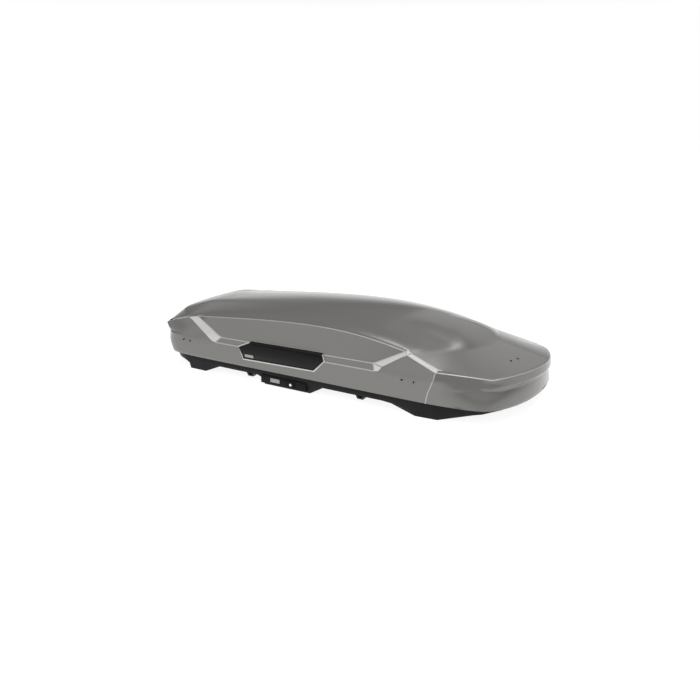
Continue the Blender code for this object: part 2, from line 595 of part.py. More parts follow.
# ---------------------------------------------------------------------------- latches
def build_latches():
    for side in SIDES:
        def w(value):
            return across(side, value)
        bar = block((-0.60, w(0.430), 0.056), (0.30, w(0.436), 0.068))
        tab = block((-0.195, w(0.430), 0.030), (-0.175, w(0.436), 0.060))
        hook = [(0.430, 0.060), (0.436, 0.060), (0.436, 0.0955), (0.412, 0.0955),
                (0.412, 0.0905), (0.430, 0.0905)]
        hooks = [plate([(w(a), b) for a, b in hook], x - 0.043, x - 0.0215) for x in STRIKER_X]
        solid(f"lock_bar_{side}", "zinc_steel", [bar, tab, *hooks])
        face = block((-0.205, w(0.4575), 0.020), (-0.12, w(0.4615), 0.050))
        stem = block((-0.193, w(0.4363), 0.032), (-0.177, w(0.459), 0.040))
        barrel_hole = rod((-0.145, w(0.45), 0.035), (-0.145, w(0.47), 0.035), 0.0085, 16)
        solid(f"lock_knob_{side}", "black_plastic", [face, stem], [barrel_hole])
        barrel = rod((-0.145, w(0.4575), 0.035), (-0.145, w(0.4630), 0.035), 0.008, 16)
        keyway = block((-0.146, w(0.4615), 0.030), (-0.144, w(0.465), 0.040))
        solid(f"key_cylinder_{side}", "polished_steel", [barrel], [keyway],
              (-0.145, w(0.46), 0.035), 40)


# ----------------------------------------------------------------------------- clamps
# One claw in the XZ plane, as (distance from the clamp's middle, height)
CLAW = ((0.036, 0.072), (0.037, 0.046), (0.0175, 0.012), (0.001, 0.012), (0.001, 0.020),
        (0.013, 0.020), (0.0285, 0.046), (0.024, 0.052), (0.024, 0.072))


def claw_shape(x, facing, side):
    """A claw at one clamp, on its front (+1) or its rear (-1)."""
    claw = plate([(-facing * a, z) for a, z in CLAW], -CLAW_HALF, CLAW_HALF)
    claw.data.transform(Matrix.Translation((x, across(side, CLAMP_Y), 0))
                        @ Matrix.Rotation(math.radians(90), 4, "Z"))
    return claw


def pivot_rod(x, facing, side, half, radius):
    at = x + facing * CLAW_PIVOT[0]
    return rod((at, across(side, CLAMP_Y) - half, CLAW_PIVOT[1]),
               (at, across(side, CLAMP_Y) + half, CLAW_PIVOT[1]), radius, 8)


def build_clamps():
    base = FLOOR_Z + TRAY_WALL + GAP + RAIL_THICK + GAP
    channel = CLAW_HALF + GAP
    for side in SIDES:
        y = across(side, CLAMP_Y)
        for end in ENDS:
            x = CLAMP_X[end]
            outer = block((x - HOUSING_HALF, y - 0.0195, base),
                          (x + HOUSING_HALF, y + 0.0195, HOUSING_TOP))
            inner = block((x - HOUSING_HALF - 0.001, y - channel, base - 0.001),
                          (x + HOUSING_HALF + 0.001, y + channel, HOUSING_TOP - 0.0095))
            holes = [pivot_rod(x, facing, side, 0.03, 0.003 + GAP) for facing in (-1, 1)]
            solid(f"clamp_housing_{end}_{side}", "black_plastic", [outer], [inner, *holes],
                  origin=(x, y, base))
            grip = rod((x, y, HOUSING_TOP + GAP), (x, y, 0.106), 0.019, 18, 0.017)
            bar = block((x - 0.016, y - 0.005, 0.1), (x + 0.016, y + 0.005, 0.112))
            solid(f"clamp_knob_{end}_{side}", "liner_grey", [grip, bar],
                  origin=(x, y, HOUSING_TOP + GAP), smooth=40)
            for facing, name in ((-1, "back"), (1, "fore")):
                pin = pivot_rod(x, facing, side, CLAW_HALF + 0.004, 0.003)
                solid(f"clamp_claw_{name}_{end}_{side}", "dark_steel",
                      [claw_shape(x, facing, side), pin],
                      origin=(x + facing * CLAW_PIVOT[0], y, CLAW_PIVOT[1]))


clear_scene()
parts = make_collection("roof_cargo_box")
cutters = make_collection("cutters")
shapes = make_collection("shapes")
LINES = lid_lines()
build_lid()
build_handles()
build_lid_inside()
build_strikers()
build_hinge_lugs()
build_tray()
build_tray_fittings()
build_hinge_brackets()
build_hinge_arms()
build_struts()
build_latches()
build_clamps()
bpy.data.collections.remove(shapes)
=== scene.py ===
"""Roof cargo box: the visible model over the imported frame, with its studio.

World frame, metres: +X to the nose, +Z up, -Y the left side, feet on Z = 0.
"""
import json
import math

import bmesh
import bpy
import numpy as np
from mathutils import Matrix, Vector
from mathutils.geometry import intersect_point_line


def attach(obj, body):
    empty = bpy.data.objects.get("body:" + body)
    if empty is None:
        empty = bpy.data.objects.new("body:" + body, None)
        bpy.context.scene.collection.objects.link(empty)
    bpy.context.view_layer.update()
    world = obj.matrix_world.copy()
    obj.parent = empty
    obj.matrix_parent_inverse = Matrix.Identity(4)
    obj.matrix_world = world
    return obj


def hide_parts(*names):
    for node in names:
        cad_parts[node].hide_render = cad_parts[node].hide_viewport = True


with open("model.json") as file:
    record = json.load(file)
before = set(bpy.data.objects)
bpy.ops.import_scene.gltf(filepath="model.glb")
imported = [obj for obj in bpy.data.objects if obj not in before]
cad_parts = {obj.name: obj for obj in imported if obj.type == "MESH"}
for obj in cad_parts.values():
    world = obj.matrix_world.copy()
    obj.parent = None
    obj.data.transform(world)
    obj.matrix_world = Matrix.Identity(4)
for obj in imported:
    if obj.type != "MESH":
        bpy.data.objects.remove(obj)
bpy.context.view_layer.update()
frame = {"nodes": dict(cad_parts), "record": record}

# ------------------------------------------------------------------- the lid's lines
RIM_Z = 0.095
HALF_WIDTH = 0.475
LID_WALL = 0.004
STATIONS = 19                # from the middle of the tail, round one side, to the tip
MERGE = 0.0001


def line(points):
    """A feature line: {station: (x, half width, z)}, straight between its stations."""
    keys = sorted(points)
    table = np.array([points[k] for k in keys])
    at = np.arange(STATIONS)
    return np.stack([np.interp(at, keys, table[:, c]) for c in range(3)], axis=1)


def lid_lines():
    """The lid's outer skin, from its rim up to the middle of its roof."""
    rim = line({0: (-1.125, 0, RIM_Z), 1: (-1.12, 0.2, RIM_Z), 2: (-1.095, 0.36, RIM_Z),
                3: (-1.04, 0.442, RIM_Z), 4: (-0.96, 0.474, RIM_Z),
                5: (-0.7, HALF_WIDTH, RIM_Z), 6: (-0.66, HALF_WIDTH, RIM_Z),
                7: (-0.47, HALF_WIDTH, RIM_Z), 9: (0.09, HALF_WIDTH, RIM_Z),
                11: (0.4, HALF_WIDTH, RIM_Z), 12: (0.44, HALF_WIDTH, RIM_Z),
                13: (0.69, HALF_WIDTH, RIM_Z), 14: (0.86, 0.462, RIM_Z),
                15: (1.0, 0.438, RIM_Z), 16: (1.072, 0.335, RIM_Z),
                17: (1.122, 0.185, RIM_Z), 18: (1.14, 0, RIM_Z)})
    low = line({0: (-1.16, 0, 0.155), 1: (-1.158, 0.2, 0.155), 2: (-1.145, 0.34, 0.155),
                3: (-1.085, 0.428, 0.155), 4: (-0.97, 0.467, 0.152),
                5: (-0.7, 0.475, 0.15), 6: (-0.665, 0.475, 0.15), 7: (-0.47, 0.475, 0.15),
                9: (0.09, 0.475, 0.15), 11: (0.4, 0.475, 0.15), 12: (0.437, 0.475, 0.15),
                13: (0.7, 0.472, 0.15), 14: (0.863, 0.451, 0.148), 15: (0.995, 0.422, 0.145),
                16: (1.066, 0.326, 0.148), 17: (1.118, 0.18, 0.15), 18: (1.137, 0, 0.15)})
    shelf = line({0: (-1.165, 0, 0.2), 1: (-1.162, 0.2, 0.2), 2: (-1.145, 0.34, 0.2),
                  3: (-1.045, 0.432, 0.203), 4: (-0.93, 0.458, 0.203),
                  5: (-0.69, 0.469, 0.203), 6: (-0.668, 0.47, 0.205),
                  7: (-0.47, 0.47, 0.206), 9: (0.09, 0.47, 0.212), 11: (0.392, 0.47, 0.214),
                  12: (0.418, 0.469, 0.214), 13: (0.714, 0.467, 0.19),
                  14: (0.865, 0.435, 0.185), 15: (0.984, 0.39, 0.176),
                  16: (1.056, 0.307, 0.183), 17: (1.11, 0.16, 0.186), 18: (1.135, 0, 0.187)})
    ledge = line({0: (-1.163, 0, 0.225), 1: (-1.16, 0.2, 0.225), 2: (-1.142, 0.348, 0.224),
                  3: (-1.085, 0.409, 0.224), 4: (-0.98, 0.437, 0.238),
                  5: (-0.748, 0.459, 0.236), 6: (-0.64, 0.45, 0.234),
                  7: (-0.43, 0.45, 0.236), 9: (0.06, 0.45, 0.243), 11: (0.377, 0.45, 0.248),
                  12: (0.435, 0.462, 0.24), 13: (0.723, 0.464, 0.218),
                  14: (0.869, 0.422, 0.211), 15: (0.997, 0.372, 0.198),
                  16: (1.067, 0.305, 0.206), 17: (1.136, 0.16, 0.212), 18: (1.165, 0, 0.214)})
    brow = line({0: (-1.155, 0, 0.25), 1: (-1.152, 0.2, 0.25), 2: (-1.138, 0.355, 0.247),
                 3: (-1.12, 0.388, 0.245), 4: (-1.021, 0.399, 0.281),
                 5: (-0.913, 0.411, 0.313), 6: (-0.865, 0.385, 0.317), 7: (-0.591, 0.376, 0.342),
                 8: (-0.27, 0.372, 0.367), 9: (0.042, 0.372, 0.377), 10: (0.295, 0.376, 0.361),
                 11: (0.536, 0.397, 0.324), 12: (0.555, 0.414, 0.312), 13: (0.729, 0.446, 0.257),
                 14: (0.869, 0.404, 0.25), 15: (0.996, 0.358, 0.238), 16: (1.064, 0.292, 0.247),
                 17: (1.132, 0.155, 0.254), 18: (1.162, 0, 0.256)})
    trim = line({0: (-1.148, 0, 0.257), 1: (-1.145, 0.2, 0.257), 2: (-1.13, 0.342, 0.254),
                 3: (-1.112, 0.373, 0.252), 4: (-1.018, 0.383, 0.287), 5: (-0.915, 0.395, 0.316),
                 6: (-0.867, 0.37, 0.321), 7: (-0.593, 0.361, 0.345), 8: (-0.272, 0.357, 0.371),
                 9: (0.041, 0.357, 0.381), 10: (0.294, 0.361, 0.366), 11: (0.542, 0.38, 0.327),
                 12: (0.566, 0.394, 0.317), 13: (0.735, 0.421, 0.264), 14: (0.873, 0.385, 0.257),
                 15: (0.987, 0.337, 0.244), 16: (1.053, 0.277, 0.253), 17: (1.118, 0.148, 0.261),
                 18: (1.148, 0, 0.264)})
    hood = line({0: (-1.085, 0, 0.329), 1: (-1.083, 0.17, 0.325), 2: (-1.065, 0.27, 0.326),
                 3: (-1.03, 0.315, 0.324), 4: (-0.98, 0.358, 0.318), 5: (-0.915, 0.398, 0.316),
                 6: (-0.83, 0.33, 0.338), 7: (-0.58, 0.315, 0.367), 8: (-0.26, 0.31, 0.395),
                 9: (0.05, 0.31, 0.407), 10: (0.31, 0.32, 0.397), 11: (0.55, 0.372, 0.338),
                 12: (0.612, 0.335, 0.329), 13: (0.7, 0.288, 0.328), 14: (0.775, 0.235, 0.325),
                 15: (0.825, 0.17, 0.325), 16: (0.85, 0.115, 0.325), 17: (0.865, 0.06, 0.325),
                 18: (0.872, 0, 0.325)})
    ridge = line({0: (-1.035, 0, 0.34), 1: (-1.033, 0.12, 0.338), 2: (-1.02, 0.155, 0.338),
                  3: (-1, 0.16, 0.34), 4: (-0.975, 0.16, 0.342), 5: (-0.94, 0.155, 0.347),
                  6: (-0.87, 0.15, 0.356), 7: (-0.62, 0.15, 0.385), 8: (-0.29, 0.15, 0.42),
                  9: (0.03, 0.155, 0.439), 10: (0.27, 0.17, 0.435), 11: (0.46, 0.19, 0.412),
                  12: (0.6, 0.205, 0.376), 13: (0.7, 0.228, 0.35), 14: (0.765, 0.19, 0.352),
                  15: (0.785, 0.14, 0.362), 16: (0.795, 0.095, 0.368), 17: (0.8, 0.05, 0.371),
                  18: (0.8, 0, 0.372)})
    deck = line({0: (-0.98, 0, 0.352), 1: (-0.975, 0.06, 0.352), 2: (-0.96, 0.1, 0.353),
                 4: (-0.92, 0.105, 0.358), 6: (-0.83, 0.1, 0.369), 7: (-0.6, 0.09, 0.396),
                 8: (-0.29, 0.085, 0.428), 9: (0.03, 0.085, 0.449), 10: (0.27, 0.09, 0.453),
                 11: (0.44, 0.1, 0.444), 12: (0.56, 0.11, 0.426), 13: (0.63, 0.12, 0.411),
                 14: (0.67, 0.1, 0.409), 16: (0.71, 0.05, 0.406), 18: (0.72, 0, 0.406)})
    spine = line({0: (-0.87, 0, 0.366), 5: (-0.8, 0, 0.374), 6: (-0.75, 0, 0.381),
                  7: (-0.55, 0, 0.405), 8: (-0.28, 0, 0.434), 9: (0.03, 0, 0.453),
                  10: (0.25, 0, 0.459), 11: (0.4, 0, 0.455), 12: (0.48, 0, 0.448),
                  13: (0.53, 0, 0.442), 15: (0.575, 0, 0.435), 18: (0.605, 0, 0.43)})
    return [rim, low, shelf, ledge, brow, trim, hood, ridge, deck, spine]


RIM, LOW, SHELF, LEDGE, BROW, TRIM, HOOD, RIDGE, DECK, SPINE = range(10)
# Rounded edges along lines: (line, first station, last station, radius, True where painted with a
# highlight)
LINE_ROUNDS = ((SHELF, 3, 5, 0.004, False), (SHELF, 5, 6, 0.003, False),
               (SHELF, 6, 11, 0.003, True), (SHELF, 11, 12, 0.002, False),
               (SHELF, 14, 18, 0.005, False),
               (LEDGE, 6, 11, 0.0025, True), (LEDGE, 11, 12, 0.002, False),
               (LEDGE, 15, 18, 0.004, False),
               (BROW, 0, 4, 0.004, False), (BROW, 4, 13, 0.0035, True),
               (BROW, 13, 15, 0.003, True), (BROW, 15, 18, 0.0035, True),
               (TRIM, 0, 11, 0.003, False), (TRIM, 11, 13, 0.003, True),
               (TRIM, 13, 18, 0.003, False),
               (HOOD, 0, 4, 0.006, False), (HOOD, 12, 18, 0.010, False),
               (RIDGE, 4, 13, 0.006, False))
# Rounded edges across lines: (station, first line, last line, radius, True where painted with a
# highlight)
CROSS_ROUNDS = ((3, LEDGE, BROW, 0.004, True), (5, SHELF, TRIM, 0.003, False),
                (6, SHELF, TRIM, 0.003, True), (11, SHELF, TRIM, 0.003, True),
                (12, SHELF, TRIM, 0.003, False), (13, RIM, TRIM, 0.0028, True),
                (15, BROW, TRIM, 0.004, False))
# Narrow panels painted lighter as a painted highlight: (line under them, first station, last
# station)
PAINTED_HIGHLIGHT_PANELS = ((SHELF, 5, 6), (LEDGE, 5, 6), (SHELF, 11, 12), (LEDGE, 11, 12),
                 (BROW, 11, 13))
WIDEST_ROUND = 0.012
# Points of the lid that stay sharp corners: (station, first line, last line)
CORNERS = ((3, LEDGE, TRIM), (5, SHELF, TRIM), (6, SHELF, TRIM), (11, SHELF, TRIM),
           (12, SHELF, TRIM), (13, RIM, TRIM), (15, BROW, TRIM))
CORNER_REACH = 0.013        # how far from such a point its rounded edges' own corners lie
EDGE_STEPS = 2               # segments in a rounded edge
SMOOTHING = 2                # subdivisions of the panels between the rounded edges
PAINTED_HIGHLIGHT_REACH = 0.004         # from the line of an edge with a painted highlight to the middle of its rounding's faces
# The lid's finishes in the order of its material slots: plain paint, then lighter copies of it as
# painted highlights on rounded edges and on narrow panels; the inside follows the outer three
GLOSS, EDGE, PAINTED_HIGHLIGHT = range(3)
LID_FINISHES_AND_PAINTED_HIGHLIGHTS = ("lid_gloss", "lid_painted_edge_highlight", "lid_painted_panel_highlight") + ("lid_inside",) * 3

# The studio's brightness by the sine of the angle over the horizon
SKY_BANDS = ((0.10, 1.0), (0.30, 0.2), (0.45, 0.16), (0.60, 0.3), (1.0, 0.3))

SIDES = {"left": -1, "right": 1}
# The handle, as (x, half width, z): lower corners, the tips that its crease joins, top corners
HANDLE_FOOT = ((-0.459, 0.4755, 0.142), (0.022, 0.4755, 0.152))
HANDLE_TIPS = ((-0.488, 0.479, 0.208), (0.083, 0.479, 0.216))
HANDLE_HEAD = ((-0.411, 0.457, 0.241), (0.058, 0.457, 0.25))
HANDLE_DEPTH = 0.016
POCKET_LIP = 0.0065          # how far the pocket's slanted lip spreads round the handle
POCKET_SKIN = (0.4752, 0.4752, 0.4705, 0.449, 0.449, 0.4705)   # the lid's half width round it
# The lip's outer and inner rings: (spread from the handle's outline, rise over the skin)
LIP_RINGS = ((POCKET_LIP, 0.0004), (-0.001, 0.0024))
BACKING_Y = (0.452, 0.4545)  # plate that closes the pocket from the inside
BACKING_SPREAD = 0.006       # how far that plate reaches past the handle's outline
# The finger groove under the handle's top edge: (x, z) corners, and its mouth and floor
GROOVE = ((-0.396, 0.2345), (0.046, 0.2425), (0.056, 0.2375), (-0.408, 0.2285))
GROOVE_Y = (0.475, 0.4585)
HANDLE_ROUND = 0.0022

# Rivets through the lid: (x, half width, z) on its flanks, (x, half width) on its bonnet
FLANK_RIVETS = ((0.553, 0.4705, 0.195), (0.622, 0.4705, 0.195),
                (-0.92, 0.4615, 0.183), (-0.867, 0.4645, 0.183))
BONNET_RIVETS = {"left": ((1.01, 0.146), (1.029, 0.098)), "right": ()}
FLANK_AXIS = (0, 1, 0.08)    # outward on the right side
BONNET_AXIS = (0.24, 0.1, 1)
RIVET_RADIUS = 0.0065
CAP_STEPS = 20               # sides of a turned cap
# Turned parts of a rivet: (name, finish, rings as (share of the rivet's radius, height))
RIVET_PARTS = (("washer", "zinc_steel",
                ((1.2, -0.002), (1.2, 0.0002), (1.1, 0.0008), (0.9, 0.0008))),
               ("rivet", "handle_black",
                ((1.0, -0.002), (1.0, 0.001), (0.85, 0.0024), (0.45, 0.0031), (0.1, 0.0033))))

# Rounding of the refined copies' edges, by the first word of the node's name
FINE_EDGES = {"base": 0.0015, "lock": 0.0008, "clamp": 0.0008, "lid": 0.001, "hinge": 0.0008,
              "handle": 0.0002, "label": 0.0002, "rim": 0.0015, "strut": 0.0006}
SMALL_EDGE = 0.0008          # rounding of the nodes that aren't in that table

# Where a noise field's low and high ends are taken
NOISE_ENDS = (0.3, 0.7)

# Softboxes: (name, place, point aimed at, width, power in watts, height)
SOFTBOXES = (("overhead", (0.7, -0.6, 8.0), (0, 0, 0.2), 5.6, 420, 5),
             ("back_panel", (0.7, 8.0, 6.5), (0.8, 0, 0.3), 8.4, 100, 7),
             ("side_panel", (-3.6, -5.4, 3.6), (0, 0, 0.2), 7, 70, 4),
             ("front_fill", (3.0, -3.0, 3.0), (0, 0, 0.2), 2.4, 60, 2.4))
FLOOR_REACH = 30
FLOOR_DROP = 0.001           # the floor lies this far under the feet
CAMERA_PLACE = (2.2978, -3.8914, 1.5518)
CAMERA_AIM = (-0.4906, 0.8187, -0.2983)
CAMERA_LENS = 41.14          # mm, on a sensor 36 mm wide


# ------------------------------------------------------------------------ small tools
def mesh_object(bm, name):
    mesh = bpy.data.meshes.new(name)
    bm.to_mesh(mesh)
    bm.free()
    made = bpy.data.objects.new(name, mesh)
    bpy.context.scene.collection.objects.link(made)
    return made


def skin(lines, rounds, cross_rounds):
    """A half shell over a grid of (x, half width, z) rows, with its edges' bevel weights."""
    bm = bmesh.new()
    weight = bm.edges.layers.float.new("bevel_weight_edge")
    rows = [[bm.verts.new((x, -w, z)) for x, w, z in row] for row in lines]
    for row, above in zip(rows, rows[1:]):
        for i in range(len(row) - 1):
            bm.faces.new((row[i], row[i + 1], above[i + 1], above[i]))
    bm.faces.ensure_lookup_table()
    # Narrow panels get the lighter paint, a painted highlight
    for index, first, last in PAINTED_HIGHLIGHT_PANELS:
        for i in range(first, last):
            bm.faces[index * (STATIONS - 1) + i].material_index = PAINTED_HIGHLIGHT
    for index, first, last, radius, _ in rounds:
        for i in range(first, last):
            bm.edges.get((rows[index][i], rows[index][i + 1]))[weight] = radius / WIDEST_ROUND
    for station, first, last, radius, _ in cross_rounds:
        for j in range(first, last):
            edge = bm.edges.get((rows[j][station], rows[j + 1][station]))
            edge[weight] = radius / WIDEST_ROUND
    return bm


def modify(thing, kind, name, **values):
    added = thing.modifiers.new(name, kind)
    for key, value in values.items():
        setattr(added, key, value)


def apply_all(thing, sharp=None):
    """Applies every modifier, then shades smooth with edges over an angle kept sharp."""
    bpy.context.view_layer.update()
    graph = bpy.context.evaluated_depsgraph_get()
    mesh = bpy.data.meshes.new_from_object(thing.evaluated_get(graph))
    old = thing.data
    thing.modifiers.clear()
    thing.data = mesh
    bpy.data.meshes.remove(old)
    mesh.shade_smooth()
    if sharp:
        mesh.set_sharp_from_angle(angle=math.radians(sharp))
    return thing


def refined(node, width):
    """A copy of a CAD node with its sharp edges rounded, in the frame's coordinates."""
    bm = bmesh.new()
    bm.from_mesh(node.data)
    bmesh.ops.transform(bm, matrix=node.matrix_world, verts=bm.verts)
    bmesh.ops.remove_doubles(bm, verts=bm.verts, dist=MERGE)
    bmesh.ops.dissolve_limit(bm, angle_limit=math.radians(1.0), verts=bm.verts, edges=bm.edges)
    thing = mesh_object(bm, "fine_" + node.name)
    thing.data.materials.clear()
    modify(thing, "BEVEL", "rounded_edges", width=width, segments=EDGE_STEPS,
           limit_method="ANGLE", angle_limit=math.radians(28), use_clamp_overlap=True,
           miter_outer="MITER_ARC")
    modify(thing, "WEIGHTED_NORMAL", "flat_faces", keep_sharp=True)
    return apply_all(thing, sharp=46)


def finish_piece(thing, body, replaced=()):
    if replaced:
        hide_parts(*replaced)
    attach(thing, body)


# ------------------------------------------------------------------------- materials
def shader(name, colour, roughness, metallic=0.0, **sockets):
    made = bpy.data.materials.new(name)
    made.use_nodes = True
    bsdf = made.node_tree.nodes["Principled BSDF"]
    bsdf.inputs["Base Color"].default_value = (*colour, 1.0)
    bsdf.inputs["Roughness"].default_value = roughness
    bsdf.inputs["Metallic"].default_value = metallic
    for key, value in sockets.items():
        bsdf.inputs[key.replace("_", " ")].default_value = value
    return made


def noise(made, scale, detail=3.0):
    nodes, links = made.node_tree.nodes, made.node_tree.links
    place = nodes.get("Texture Coordinate") or nodes.new("ShaderNodeTexCoord")
    field = nodes.new("ShaderNodeTexNoise")
    field.inputs["Scale"].default_value = scale
    field.inputs["Detail"].default_value = detail
    links.new(place.outputs["Object"], field.inputs["Vector"])
    return field.outputs["Fac"]


def vary(made, socket, field, low, high):
    """Drives a colour or roughness by a noise field, between two values."""
    nodes, links = made.node_tree.nodes, made.node_tree.links
    bsdf = nodes["Principled BSDF"]
    if isinstance(low, (int, float)):
        ramp = nodes.new("ShaderNodeMapRange")
        ramp.inputs["From Min"].default_value = NOISE_ENDS[0]
        ramp.inputs["From Max"].default_value = NOISE_ENDS[1]
        ramp.inputs["To Min"].default_value = low
        ramp.inputs["To Max"].default_value = high
        links.new(field, ramp.inputs["Value"])
        links.new(ramp.outputs["Result"], bsdf.inputs[socket])
    else:
        ramp = nodes.new("ShaderNodeValToRGB")
        for stop, position, colour in zip(ramp.color_ramp.elements, NOISE_ENDS, (low, high)):
            stop.position = position
            stop.color = (*colour, 1.0)
        links.new(field, ramp.inputs["Fac"])
        links.new(ramp.outputs["Color"], bsdf.inputs[socket])


def bump(made, field, depth):
    nodes, links = made.node_tree.nodes, made.node_tree.links
    raised = nodes.new("ShaderNodeBump")
    raised.inputs["Strength"].default_value = 1.0
    raised.inputs["Distance"].default_value = depth
    links.new(field, raised.inputs["Height"])
    links.new(raised.outputs["Normal"], nodes["Principled BSDF"].inputs["Normal"])


def tone(level, warm=1.0):
    """A grey a little warmer than neutral."""
    return (level * (1 + 0.02 * warm), level, level * (1 - 0.045 * warm))


def make_materials():
    made = {}
    lid = shader("lid_gloss", tone(0.16), 0.25, 0.35, Coat_Weight=0.3, Coat_Roughness=0.12,
                 Specular_IOR_Level=0.35)
    vary(lid, "Base Color", noise(lid, 900, 1.0), tone(0.155), tone(0.175))
    vary(lid, "Roughness", noise(lid, 3.0), 0.22, 0.26)
    bump(lid, noise(lid, 160, 1.0), 0.00003)
    made["lid_gloss"] = lid
    # Painted highlight: a lighter copy of the lid's paint for its rounded edges
    edge = shader("lid_painted_edge_highlight", tone(0.34), 0.3, 0.2, Coat_Weight=0.5, Coat_Roughness=0.1)
    vary(edge, "Roughness", noise(edge, 3.0), 0.28, 0.33)
    made["lid_painted_edge_highlight"] = edge
    # Painted highlight: a still lighter copy for narrow panels and the handle pockets' lips
    bright = shader("lid_painted_panel_highlight", tone(0.5, 0.5), 0.3, 0.1, Coat_Weight=0.5, Coat_Roughness=0.1)
    vary(bright, "Roughness", noise(bright, 3.0), 0.28, 0.33)
    made["lid_painted_panel_highlight"] = bright
    liner = shader("lid_inside", (0.03, 0.03, 0.031), 0.55)
    vary(liner, "Roughness", noise(liner, 8), 0.48, 0.62)
    bump(liner, noise(liner, 900, 2.0), 0.00012)
    made["lid_inside"] = liner
    black = shader("black_plastic", (0.009, 0.009, 0.0095), 0.5, Specular_IOR_Level=0.12)
    vary(black, "Base Color", noise(black, 5), (0.007, 0.007, 0.0075), (0.011, 0.011, 0.0115))
    vary(black, "Roughness", noise(black, 14), 0.42, 0.58)
    bump(black, noise(black, 1100, 2.0), 0.00015)
    made["black_plastic"] = black
    handle = shader("handle_black", (0.007, 0.007, 0.0075), 0.32, Specular_IOR_Level=0.14)
    vary(handle, "Roughness", noise(handle, 40), 0.28, 0.38)
    bump(handle, noise(handle, 1400, 2.0), 0.00006)
    made["handle_black"] = handle
    grey = shader("liner_grey", (0.05, 0.05, 0.053), 0.55)
    vary(grey, "Roughness", noise(grey, 30), 0.48, 0.62)
    bump(grey, noise(grey, 900, 2.0), 0.0001)
    made["liner_grey"] = grey
    zinc = shader("zinc_steel", (0.45, 0.46, 0.48), 0.34, 1.0)
    vary(zinc, "Base Color", noise(zinc, 45, 5.0), (0.36, 0.37, 0.39), (0.52, 0.53, 0.54))
    vary(zinc, "Roughness", noise(zinc, 90), 0.26, 0.44)
    made["zinc_steel"] = zinc
    dark = shader("dark_steel", (0.035, 0.035, 0.038), 0.42, 0.2)
    vary(dark, "Roughness", noise(dark, 120), 0.34, 0.5)
    bump(dark, noise(dark, 700), 0.0001)
    made["dark_steel"] = dark
    polished = shader("polished_steel", (0.78, 0.78, 0.79), 0.12, 1.0)
    vary(polished, "Roughness", noise(polished, 60), 0.08, 0.2)
    made["polished_steel"] = polished
    label = shader("label_silver", (0.3, 0.3, 0.3), 0.45, 0.2)
    vary(label, "Roughness", noise(label, 200), 0.34, 0.46)
    made["label_silver"] = label
    seal = shader("seal_rubber", (0.012, 0.012, 0.012), 0.8)
    bump(seal, noise(seal, 500), 0.0003)
    made["seal_rubber"] = seal
    mat = shader("mat_foam", (0.035, 0.035, 0.038), 0.9)
    vary(mat, "Base Color", noise(mat, 60), (0.028, 0.028, 0.03), (0.045, 0.045, 0.048))
    bump(mat, noise(mat, 400), 0.0006)
    made["mat_foam"] = mat
    return made


# ------------------------------------------------------------------------------- lid
def handle_ring(side, spread=0.0):
    """The handle's outline, spread outward in the plane of X and Z."""
    points = [HANDLE_FOOT[0], HANDLE_FOOT[1], HANDLE_TIPS[1], HANDLE_HEAD[1], HANDLE_HEAD[0],
              HANDLE_TIPS[0]]
    flat = [Vector((x, z)) for x, _, z in points]
    ring = []
    for i, (x, w, z) in enumerate(points):
        before = (flat[i] - flat[i - 1]).normalized()
        after = (flat[(i + 1) % len(flat)] - flat[i]).normalized()
        out = Vector((before.y + after.y, -before.x - after.x)).normalized()
        reach = spread / max(0.5, out.dot(Vector((before.y, -before.x))))
        ring.append((x + out.x * reach, side * w, z + out.y * reach))
    return ring


def prism(rings):
    """A closed body through rings of points of one length."""
    bm = bmesh.new()
    made = [[bm.verts.new(p) for p in ring] for ring in rings]
    count = len(made[0])
    for ring, after in zip(made, made[1:]):
        for i in range(count):
            j = (i + 1) % count
            bm.faces.new((ring[i], ring[j], after[j], after[i]))
    bm.faces.new(made[0][::-1])
    bm.faces.new(made[-1])
    bmesh.ops.recalc_face_normals(bm, faces=bm.faces)
    return bm


def add_pocket_lip(bm, side):
    """The slanted lip that the lid's skin forms round the handle, with a painted highlight."""
    rings = []
    for spread, rise in LIP_RINGS:
        outline = zip(handle_ring(side, spread), POCKET_SKIN)
        rings.append([bm.verts.new((x, side * (w + rise), z)) for (x, _, z), w in outline])
    outer, inner = rings
    count = len(outer)
    for i in range(count):
        j = (i + 1) % count
        face = bm.faces.new((outer[i], outer[j], inner[j], inner[i]))
        # The lip takes the lighter paint, a painted highlight
        face.material_index = PAINTED_HIGHLIGHT
        face.normal_update()
        if face.normal.y * side < 0:
            face.normal_flip()


def painted_highlight_segments(table):
    """The parts of the rounded edges painted with a highlight, on both sides."""
    pairs = []
    for index, first, last, _, gets_painted_highlight in LINE_ROUNDS:
        pairs += [(table[index][i], table[index][i + 1]) for i in range(first, last) if gets_painted_highlight]
    for station, first, last, _, gets_painted_highlight in CROSS_ROUNDS:
        pairs += [(table[j][station], table[j + 1][station]) for j in range(first, last) if gets_painted_highlight]
    return [(Vector(start), Vector(end)) for start, end in pairs]


def near_segment(spot, start, end):
    nearest, along = intersect_point_line(spot, start, end)
    if not 0 <= along <= 1:
        nearest = start if along < 0 else end
    return (spot - nearest).length < PAINTED_HIGHLIGHT_REACH


